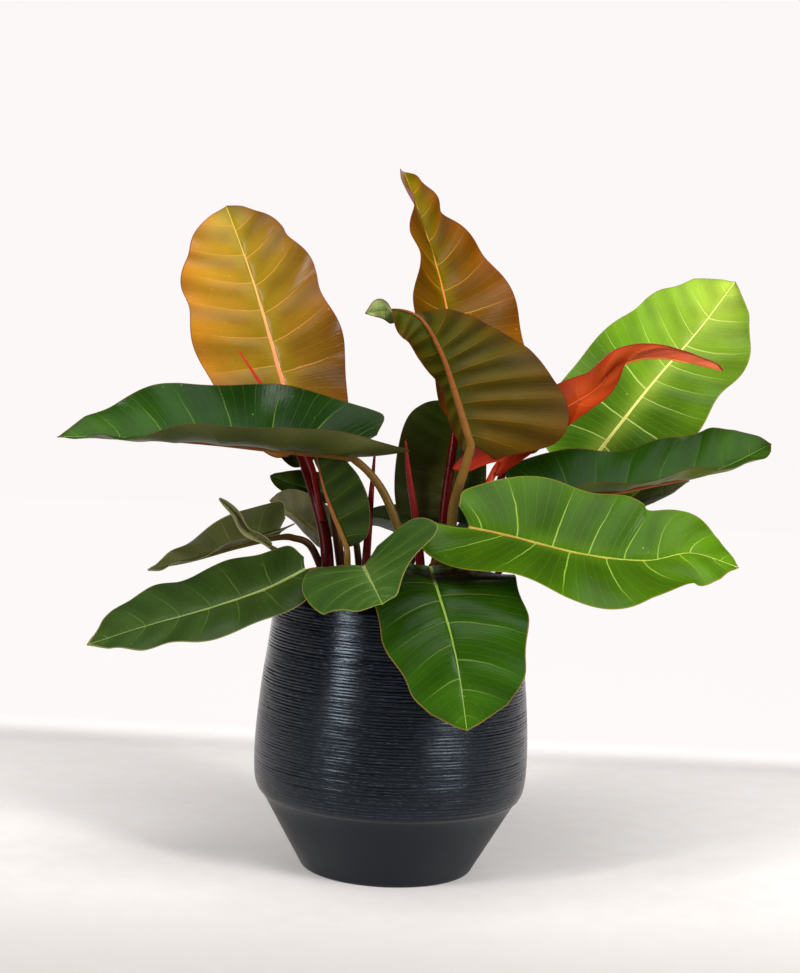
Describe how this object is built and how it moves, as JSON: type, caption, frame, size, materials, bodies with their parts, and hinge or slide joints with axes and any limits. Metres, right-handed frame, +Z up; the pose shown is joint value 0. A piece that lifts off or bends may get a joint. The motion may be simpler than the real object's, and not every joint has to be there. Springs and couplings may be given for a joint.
{
  "type": "potted prince of orange philodendron",
  "caption": "Leafy tropical house plant with orange young leaves and waved green older ones, in a ribbed round black stoneware pot.",
  "frame": {"origin": "middle of the pot's flat base, on the surface it stands on", "axes": "+Z up; -Y towards the side that the picture shows; +X to that view's right"},
  "size_m": [0.8574, 0.5737, 0.8723],
  "materials": {
    "pot": "satin glaze over fine combed ribs",
    "soil": "matte, crumbly bark mix",
    "stem": "satin, scarred",
    "blade_golden": "glossy young leaf",
    "blade_copper": "glossy young leaf",
    "blade_olive": "satin",
    "blade_green": "glossy",
    "blade_lime": "glossy",
    "blade_dark": "glossy",
    "blade_grey": "satin",
    "blade_flame": "glossy young leaf",
    "stalk_crimson": "satin",
    "stalk_flame": "satin",
    "stalk_tan": "satin",
    "stalk_umber": "satin"
  },
  "bodies": {
    "root": {"leaf_arching": "blade_olive", "leaf_back_centre": "blade_dark", "leaf_back_left": "blade_dark", "leaf_back_low": "blade_dark", "leaf_back_right": "blade_dark", "leaf_centre_dark": "blade_dark", "leaf_centre_olive": "blade_olive", "leaf_curled": "blade_grey", "leaf_front": "blade_green", "leaf_front_small": "blade_green", "leaf_left": "blade_green", "leaf_left_back": "blade_dark", "leaf_left_front": "blade_green", "leaf_left_grey": "blade_grey", "leaf_left_low": "blade_grey", "leaf_orange_young": "blade_flame", "leaf_right": "blade_dark", "leaf_right_front": "blade_lime", "leaf_right_low": "blade_grey", "leaf_top": "blade_copper", "leaf_upper_left": "blade_golden", "leaf_upper_right": "blade_lime", "petiole_arching": "stalk_tan", "petiole_back_centre": "stalk_crimson", "petiole_back_left": "stalk_umber", "petiole_back_low": "stalk_umber", "petiole_back_right": "stalk_umber", "petiole_centre_dark": "stalk_umber", "petiole_centre_olive": "stalk_tan", "petiole_curled": "stalk_umber", "petiole_front": "stalk_umber", "petiole_front_small": "stalk_tan", "petiole_left": "stalk_tan", "petiole_left_back": "stalk_umber", "petiole_left_front": "stalk_tan", "petiole_left_grey": "stalk_umber", "petiole_left_low": "stalk_umber", "petiole_orange_young": "stalk_flame", "petiole_right": "stalk_tan", "petiole_right_front": "stalk_flame", "petiole_right_low": "stalk_umber", "petiole_top": "stalk_crimson", "petiole_upper_left": "stalk_crimson", "petiole_upper_right": "stalk_crimson", "pot": "pot", "sheath_centre": "stalk_crimson", "sheath_left": "stalk_crimson", "soil": "soil", "stem_back": "stem", "stem_left": "stem", "stem_right": "stem"}
  },
  "joints": []
}
